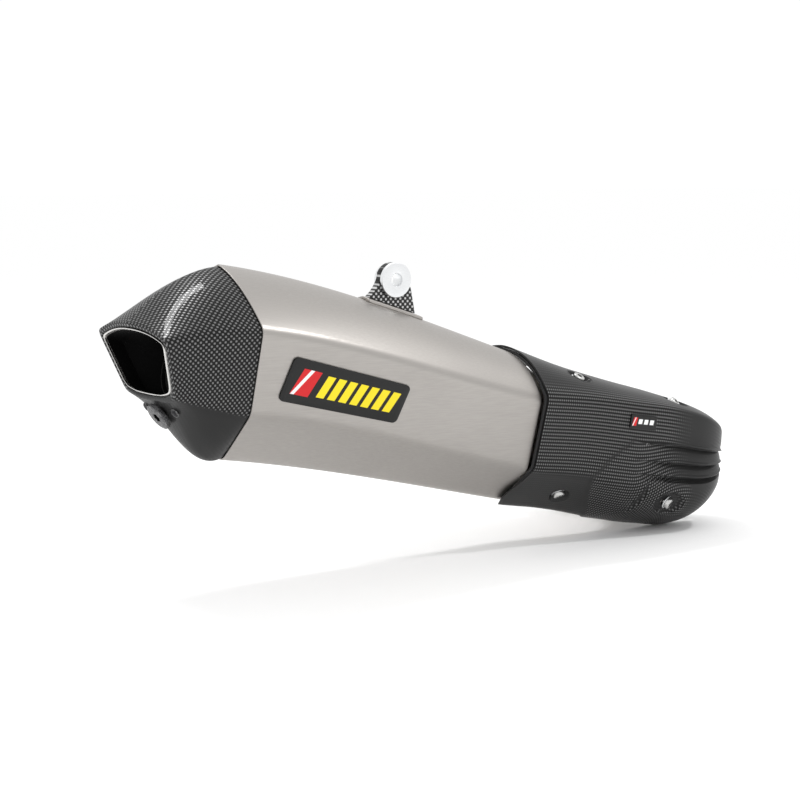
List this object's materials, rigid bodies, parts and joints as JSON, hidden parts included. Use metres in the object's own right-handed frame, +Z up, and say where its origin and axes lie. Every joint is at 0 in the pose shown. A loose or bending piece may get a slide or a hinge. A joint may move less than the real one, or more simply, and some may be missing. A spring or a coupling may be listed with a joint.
{
  "type": "motorcycle exhaust silencer",
  "caption": "Six-sided titanium exhaust silencer with a carbon end cap, hanger plate and gilled heat guard, a perforated core and a clamped inlet pipe.",
  "frame": {"origin": "on the axis of the hanger bush, in the middle of the hanger plate", "axes": "+X forward towards the inlet, +Y towards the vehicle's left (the side the inlet pipe leaves from), +Z up, as it hangs on the vehicle with its tail raised"},
  "size_m": [0.5427, 0.1662, 0.23],
  "materials": {
    "titanium": "satin brushed sheet, warm grey",
    "bright_titanium": "polished sheet and tube",
    "carbon": "woven carbon under a clear gloss coat",
    "steel": "machined stainless",
    "black_steel": "black oxide, satin",
    "aluminium": "turned and clear anodised",
    "rubber": "matt heat-proof rubber",
    "glass_wool": "packed glass fibre",
    "label": "printed foil plate"
  },
  "bodies": {
    "silencer": {"outer_sleeve": "titanium", "end_cap": "carbon", "outlet_liner": "bright_titanium", "core_tube": "steel", "glass_packing": "glass_wool", "rear_bulkhead": "steel", "front_bulkhead": "steel", "front_cone": "titanium", "inlet_pipe": "bright_titanium", "inlet_socket": "bright_titanium", "heat_guard": "carbon", "guard_edge_seal": "rubber", "guard_screw_rear_top": "steel", "guard_washer_rear_top": "aluminium", "guard_post_rear_top": "titanium", "guard_screw_front_top": "steel", "guard_washer_front_top": "aluminium", "guard_post_front_top": "titanium", "guard_screw_rear_low": "steel", "guard_washer_rear_low": "aluminium", "guard_post_rear_low": "titanium", "guard_screw_front_low": "steel", "guard_washer_front_low": "aluminium", "guard_post_front_low": "titanium", "bracket_foot": "bright_titanium", "hanger_bracket": "carbon", "hanger_grommet": "rubber", "damper_bolt": "black_steel", "damper_bolt_seal": "rubber", "damper_bolt_nut": "steel", "chin_rivet_left": "black_steel", "chin_rivet_right": "black_steel", "side_badge": "label", "guard_badge": "label"},
    "damper": {"noise_damper": "black_steel"},
    "bush": {"hanger_bush": "aluminium", "bush_collar": "aluminium"},
    "clamp": {"clamp_band": "steel", "clamp_bolt": "steel", "clamp_nut": "steel"}
  },
  "joints": [
    {"name": "damper_slide", "type": "slide", "parent": "silencer", "child": "damper", "axis": [-0.9711, 0, 0.2385], "range_m": [0, 0.13]},
    {"name": "bush_turn", "type": "hinge", "parent": "silencer", "child": "bush", "pos_m": [0, 0, 0], "axis": [0, 1, 0], "continuous": true},
    {"name": "clamp_turn", "type": "hinge", "parent": "silencer", "child": "clamp", "pos_m": [0.25461, 0.096, -0.16435], "axis": [0, 1, 0], "continuous": true}
  ]
}
